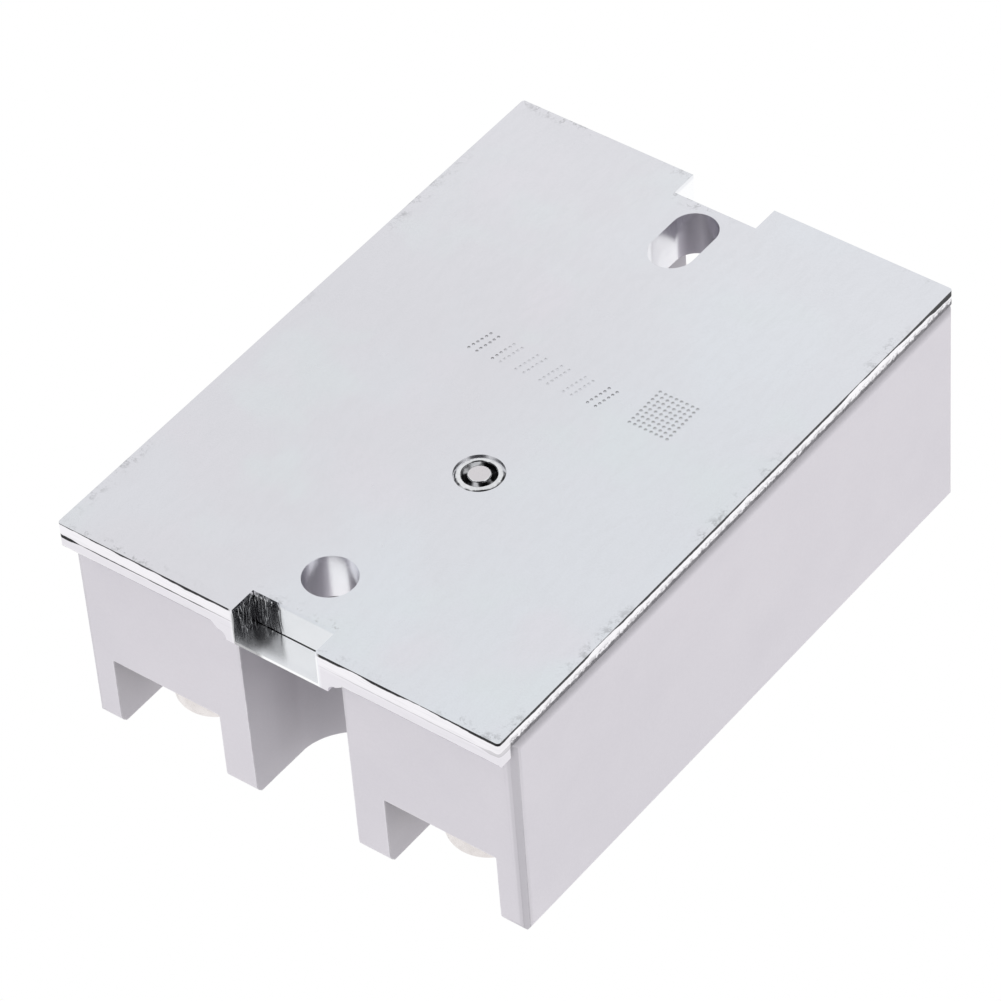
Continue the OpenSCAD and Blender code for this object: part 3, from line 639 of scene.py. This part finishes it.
def make_base_plate():
    plate = prism(rounded_rect(PLATE_W, PLATE_L, PLATE_CORNER, 6), BOSS_Z, TOTAL_H)
    under = box(-30, 30, -40, 40, 0, PLATE_UNDER)
    combine(under, [prism(recess_outline(BOSS_R, s), -5, 40) for s in (-1, 1)])
    cuts = [under]
    for s in (-1, 1):
        cuts.append(box(s * SLAB_W / 2, s * 30, -END_Y, 40, 0, RIM_Z))
        cuts.append(box(-30, 30, s * (PLATE_L / 2 - NOTCH_D), s * 40, 0, PAD_Z))
        cuts.append(box(-NOTCH_W / 2, NOTCH_W / 2, s * (PLATE_L / 2 - NOTCH_D), s * 40, NOTCH_Z, 30))
    cuts.append(prism(circle(0, -HOLE_Y, HOLE_R, 64), 15, 30))
    half = (SLOT_L - SLOT_W) / 2
    slot = arc(0, HOLE_Y + half, SLOT_W / 2, 0, 180, 28) + arc(0, HOLE_Y - half, SLOT_W / 2, 180, 360, 28)
    cuts.append(prism(slot, 15, 30))
    cuts.append(lathe([(0, -9), (1.22, -9), (1.22, -1.0), (2.1, -0.06), (2.16, 0.0), (2.3, 0.4), (0, 0.4)],
                      RIVET.x, RIVET.y, TOTAL_H))
    combine(plate, cuts)

    # small web where the near boss meets the underside of the end lip
    webs = []
    for sx, sy in CORNERS[:2]:
        curve = arc(BOSS_R + 0.8, PLATE_UNDER - 0.8, 0.8, 90, 180, 6)
        corners = [(BOSS_R - 0.3, PLATE_UNDER + 0.3), (BOSS_R + 0.8, PLATE_UNDER + 0.3)]
        corners += curve + [(BOSS_R - 0.3, PLATE_UNDER - 0.8)]
        outline = [(sx * x, z) for x, z in corners]
        y0, y1 = sorted((sy * (END_Y + 0.01), sy * PLATE_L / 2))
        webs.append(prism(outline, y0, y1, "Y"))
    combine(plate, webs, "UNION")

    # the foot of the near end's lip is rolled over, less and less towards the boss, and its outer
    # corner is rounded off
    rolls = []
    for sx, sy in CORNERS[:2]:
        bm = bmesh.new()
        ends = []
        for x, r in ((BOSS_R + 0.85, 0.03), (BOSS_R + 1.5, 0.75), (PLATE_W / 2 + 0.5, 0.75)):
            edge = arc(PLATE_L / 2 - r, PLATE_UNDER + r, r, -90, 0, 7)
            edge += [(PLATE_L / 2 + 0.3, PLATE_UNDER + r), (PLATE_L / 2 + 0.3, PLATE_UNDER - 0.3),
                     (PLATE_L / 2 - r, PLATE_UNDER - 0.3)]
            ends.append([bm.verts.new((sx * x, sy * y, z)) for y, z in edge])
        for a, b in zip(ends, ends[1:]):
            for i in range(len(a)):
                j = (i + 1) % len(a)
                bm.faces.new((a[i], a[j], b[j], b[i]))
        bm.faces.new(ends[0])
        bm.faces.new(list(reversed(ends[-1])))
        rolls.append(new_object("roll", bm))
        outline = arc(PLATE_W / 2 - 0.4, PLATE_UNDER + 0.4, 0.4, -90, 0, 7)
        outline += [(PLATE_W / 2 + 0.3, PLATE_UNDER + 0.4), (PLATE_W / 2 + 0.3, PLATE_UNDER - 0.3),
                    (PLATE_W / 2 - 0.4, PLATE_UNDER - 0.3)]
        y0, y1 = sorted((sy * (END_Y - 0.5), sy * (PLATE_L / 2 + 0.5)))
        rolls.append(prism([(sx * x, z) for x, z in outline], y0, y1, "Y"))
    combine(plate, rolls)
    clean(plate)

    def rule(p, convex):
        x, y, z = abs(p.x), abs(p.y), p.z
        if math.hypot(p.x - RIVET.x, p.y - RIVET.y) < 3 or z < PAD_Z + 0.1:
            return 0.0
        if not convex:
            return 0.4 if x < NOTCH_W / 2 + 0.1 and abs(y - (PLATE_L / 2 - NOTCH_D)) < 0.1 else 0.0
        if z > TOTAL_H - 0.02:
            if x > PLATE_W / 2 - 0.4 or y > PLATE_L / 2 - 0.4:
                return 0.6
            return 0.3
        if y > PLATE_L / 2 - 0.4 or x > PLATE_W / 2 - 0.4:
            return 0.35
        return 0.0

    round_edges(plate, 0.3, rule, segments=4, angle=35)

    # peened dots: a row of slanted dotted strokes, and a plain lattice
    spots = []
    for i in range(6):
        left = -7.0 + i * 2.4
        for stroke in (0.0, 0.8):
            for k in range(6):
                spots.append((left + stroke + 0.10 * k, 3.55 + 0.46 * k, 0.13))
    for i in range(8):
        for j in range(9):
            spots.append((9.2 + i * 0.53, 3.55 + j * 0.53, 0.14))
    spots = [(x + random.uniform(-0.02, 0.02), y + random.uniform(-0.02, 0.02), r) for x, y, r in spots]
    dots = [lathe([(0, -0.07), (r * 0.6, -0.05), (r, 0.0), (r * 1.08, 0.03), (0, 0.03)], x, y, TOTAL_H, 8)
            for x, y, r in spots]
    combine(plate, [join(dots)])
    return finish_mesh(plate, "base_plate_sheet", "relay_body", MATERIALS["base_metal"],
                       ["base_plate"], smooth=38)


def make_rivet():
    top = [(0.0, -0.03), (0.5, -0.02), (0.84, -0.01), (0.95, -0.04), (1.01, -0.17), (1.09, -0.42), (1.23, -0.52),
           (1.37, -0.41), (1.45, -0.18), (1.53, -0.05), (1.62, -0.01), (1.78, -0.03), (1.93, -0.11), (2.03, -0.24),
           (2.00, -0.30), (1.15, -1.05)]
    low = RIVET_LOW_Z - TOTAL_H
    bottom = [(1.15, low + 0.82), (2.15, low + 0.8), (2.34, low + 0.66), (2.4, low + 0.45), (2.3, low + 0.16),
              (2.05, low + 0.02), (1.9, low), (0.0, low)]
    rivet = lathe(top + bottom, RIVET.x, RIVET.y, TOTAL_H, 72)
    return finish_mesh(rivet, "rivet", "relay_body", MATERIALS["rivet_metal"],
                       ["base_rivet"], 50)


def make_label():
    label = prism(rounded_rect(37.4, 33.4, EDGE_R, 8), 0.15, 0.35)
    combine(label, [prism(circle(LED_X, LED_Y, 2.2), -1, 2)])
    round_edges(label, 0.05, lambda p, convex: 1.0 if p.z < 0.2 else 0.0, segments=2)
    return finish_mesh(label, "label_blank", "relay_body", MATERIALS["label_film"],
                       ["face_label"])


# ---------------------------------------------------------------- terminals

def make_terminal_plate(index, sx, sy):
    back, front = POCKET_BACK, NEAR_Y - 1.0
    sheet = box(sx * (SCREW_X - 4.5), sx * (SCREW_X + 4.5), sy * back, sy * front, TERMINAL_Z, POCKET_H)
    cx, cy = sx * SCREW_X, sy * SCREW_Y
    left, right = sx * (SCREW_X - TONGUE_W / 2), sx * (SCREW_X + TONGUE_W / 2)
    parts = [box(left, right, sy * TONGUE_Y, sy * (back + 0.4), TERMINAL_Z, POCKET_H),
             box(left, right, sy * TONGUE_Y, sy * 16.8, TERMINAL_Z, TONGUE_TOP),
             prism(circle(cx, cy, COLLAR_R), POCKET_H - 0.3, COLLAR_TOP)]
    combine(sheet, parts, "UNION")
    combine(sheet, [prism(circle(cx, cy, THREAD_HOLE_R), 4, 12)])
    clean(sheet)
    round_edges(sheet, 0.14, lambda p, convex: 1.0 if convex else 0.0, segments=3)
    return finish_mesh(sheet, f"terminal_plate_{index}_visual", "relay_body",
                       MATERIALS["terminal_metal"], [f"terminal_plate_{index}"])


def make_clamp_plate(index, sx, sy):
    cx, cy = sx * SCREW_X, sy * SCREW_Y
    clamp = prism(rounded_rect(CLAMP_W, CLAMP_L, CLAMP_R, 8, cx, cy), CLAMP_Z, CLAMP_Z + CLAMP_T)
    cuts = [prism(circle(cx, cy, 2.03), 0, 12)]
    top = CLAMP_Z + CLAMP_T
    for i in range(5):
        gx = cx + (i - 2) * 1.25
        groove = [(gx - 0.4, top + 0.05), (gx, top - 0.35), (gx + 0.4, top + 0.05)]
        cuts.append(prism(groove, cy - 6, cy + 6, "Y"))
    combine(clamp, cuts)
    clean(clamp)
    round_edges(clamp, 0.12, lambda p, convex: (1.0 if p.z < CLAMP_Z + 0.05 or math.hypot(p.x - cx, p.y - cy) > 3
                                                 else 0.4) if convex else 0.0, segments=3)
    return finish_mesh(clamp, f"clamp_plate_{index}_visual", f"clamp_{index}",
                       MATERIALS["clamp_metal"], [f"clamp_plate_{index}"])


def make_screw(index, sx, sy):
    """Pan-head screw with a real thread. The head's drive side faces down."""
    cx, cy, pitch, steps = sx * SCREW_X, sy * SCREW_Y, 0.7, 40
    crest, root, length, neck = 1.95, 1.56, 8.0, 0.9
    profile = [(0.0, -HEAD_H)]
    dome, rim = HEAD_DOME, 3.7
    for i in range(1, 9):
        r = (rim - 0.25) * i / 8
        profile.append((r, -HEAD_H + dome - math.sqrt(dome * dome - r * r)))
    edge_z = -HEAD_H + dome - math.sqrt(dome * dome - rim * rim)
    profile += [(rim - 0.09, edge_z - 0.02), (rim, edge_z + 0.16), (rim, -0.16), (rim - 0.05, -0.05),
                (rim - 0.2, 0.0), (root + 0.25, 0.0), (root + 0.03, 0.08), (root, 0.22)]
    head = lathe(profile + [(0.0, 0.22)], cx, cy, CLAMP_Z, 64)
    drive = [box(cx - 5, cx + 5, cy - 0.55, cy + 0.55, CLAMP_Z - 4, CLAMP_Z - HEAD_H + 1.2),
             box(cx - 2.3, cx + 2.3, cy - 0.55, cy + 0.55, CLAMP_Z - 4, CLAMP_Z - HEAD_H + 1.7),
             box(cx - 0.55, cx + 0.55, cy - 2.3, cy + 2.3, CLAMP_Z - 4, CLAMP_Z - HEAD_H + 1.7)]
    combine(head, drive)
    clean(head, 0.01)
    round_edges(head, 0.12, lambda p, convex: 1.0 if convex and p.z < CLAMP_Z - 1.2
                and math.hypot(p.x - cx, p.y - cy) < rim - 0.05 else 0.0, segments=2, angle=50)

    bm = bmesh.new()
    rows = 132
    rings = []
    for k in range(rows + 1):
        z = length * k / rows
        ring = []
        for i in range(steps):
            turn = i / steps
            phase = ((z / pitch - turn) % 1.0)
            ridge = max(0.0, 1 - abs(phase - 0.5) / 0.5 * 1.25)
            ridge = min(1.0, ridge * 1.35)
            fade = min(1.0, max(0.0, (z - neck) / 0.7)) * min(1.0, max(0.0, (length - z) / 0.7))
            r = root + (crest - root) * ridge * fade
            if z > length - 0.3:
                r -= (z - (length - 0.3)) * 0.8
            a = 2 * math.pi * turn
            ring.append(bm.verts.new((cx + r * math.cos(a), cy + r * math.sin(a), CLAMP_Z + z)))
        rings.append(ring)
    for a, b in zip(rings, rings[1:]):
        for i in range(steps):
            bm.faces.new((a[i], a[(i + 1) % steps], b[(i + 1) % steps], b[i]))
    bm.faces.new(rings[0])
    bm.faces.new(rings[-1])
    shank = new_object("shank", bm)
    screw = join([head, shank])
    return finish_mesh(screw, f"terminal_screw_{index}_visual", f"screw_{index}",
                       MATERIALS["screw_metal"], [f"terminal_screw_{index}"])


make_housing()
make_base_plate()
make_rivet()
make_label()
for number, (side_x, side_y) in enumerate(CORNERS, 1):
    make_terminal_plate(number, side_x, side_y)
    make_clamp_plate(number, side_x, side_y)
    make_screw(number, side_x, side_y)

# The rest of the CAD keeps its own meshes, with finished materials
for node_name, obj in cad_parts.items():
    if obj.hide_render:
        continue
    slot_name = obj.data.materials[0].name if obj.data.materials else "device_plastic"
    slot_name = slot_name.split(".")[0]
    for place in obj.material_slots:
        place.material = MATERIALS[slot_name]


# ---------------------------------------------------------------- stage, light and camera

def make_floor():
    bm = bmesh.new()
    half = 1.6
    around = ((-1, -1), (1, -1), (1, 1), (-1, 1))
    bm.faces.new([bm.verts.new((x * half, y * half, -0.00002)) for x, y in around])
    floor = new_object("floor", bm)
    if floor.data.polygons[0].normal.z < 0:
        floor.data.flip_normals()
    m, g = start_material("floor_white")
    glow = g.node("ShaderNodeEmission", {"Color": grey(1.0), "Strength": 1.0}).outputs[0]
    clear = g.node("ShaderNodeBsdfTransparent").outputs[0]
    behind = g.node("ShaderNodeNewGeometry").outputs["Backfacing"]
    mixed = g.node("ShaderNodeMixShader", {0: behind, 1: glow, 2: clear}).outputs[0]
    g.node("ShaderNodeOutputMaterial", {"Surface": mixed})
    m.cycles.emission_sampling = "NONE"
    floor.data.materials.append(m)


def make_world():
    """A white studio: gloss sees a bright ceiling over a dark horizon, matt surfaces see soft, even light."""
    world = bpy.data.worlds.new("studio")
    scene.world = world
    world.use_nodes = True
    g = Graph(world.node_tree)
    toward = g.node("ShaderNodeTexCoord").outputs["Generated"]
    z = g.split(toward)[2]

    def facing(x, y, up):
        n = Vector((x, y, up)).normalized()
        return g.dot(toward, tuple(n))

    # gloss: dark band above the horizon, lower towards the back left, and a dark spot where the camera stands
    band_top = g.ramp(facing(-0.64, 0.77, 0.0), 0.25, 0.75, 0.52, 0.16)
    above = g.ramp(g.minus(z, band_top), -0.07, 0.07)
    below = g.ramp(z, 0.06, -0.02)
    open_sky = g.largest(above, below)
    away = g.ramp(facing(0.464, -0.553, 0.66), 0.93, 0.80)
    lit = g.times(open_sky, g.largest(away, below))
    gloss = g.mix(lit, (0.045, 0.045, 0.05, 1), (0.83, 0.84, 0.85, 1))

    # matt: nearly even, a little stronger from both sides than from where the camera stands
    left = g.ramp(facing(-0.95, -0.25, 0.2), 0.2, 0.95)
    right = g.ramp(facing(0.25, 0.95, 0.2), 0.2, 0.95)
    sides = g.plus(left, right, clamp=True)
    matt = g.mix(sides, grey(0.72), grey(1.55))

    path = g.node("ShaderNodeLightPath")
    seen = g.mix(path.outputs["Is Glossy Ray"], matt, gloss)
    seen = g.mix(path.outputs["Is Camera Ray"], seen, grey(1.0))
    back = g.node("ShaderNodeBackground", {"Color": seen, "Strength": 1.0})
    g.node("ShaderNodeOutputWorld", {"Surface": back.outputs[0]})
    world.cycles.sampling_method = "NONE"


def make_camera():
    data = bpy.data.cameras.new("camera")
    cam = bpy.data.objects.new("camera", data)
    scene.collection.objects.link(cam)
    scene.camera = cam
    data.lens, data.sensor_width = 214.6, 36.0
    data.clip_start, data.clip_end = 0.01, 20.0
    azimuth, elevation, roll = math.radians(39.996), math.radians(43.80), math.radians(-4.465)
    target = Vector((2.374, -5.154, 17.688)) * MM
    back = Vector((math.sin(azimuth) * math.cos(elevation), -math.cos(azimuth) * math.cos(elevation),
                   math.sin(elevation)))
    flat_right = (-back).cross(Vector((0, 0, 1))).normalized()
    flat_up = flat_right.cross(-back)
    right = flat_right * math.cos(roll) + flat_up * math.sin(roll)
    up = flat_up * math.cos(roll) - flat_right * math.sin(roll)
    turn = Matrix((right, up, back)).transposed().to_4x4()
    cam.matrix_world = Matrix.Translation(target + back * 0.48168) @ turn


make_floor()
make_world()
make_camera()
scene.view_settings.view_transform = "Standard"
scene.view_settings.look = "None"
scene.render.film_transparent = False
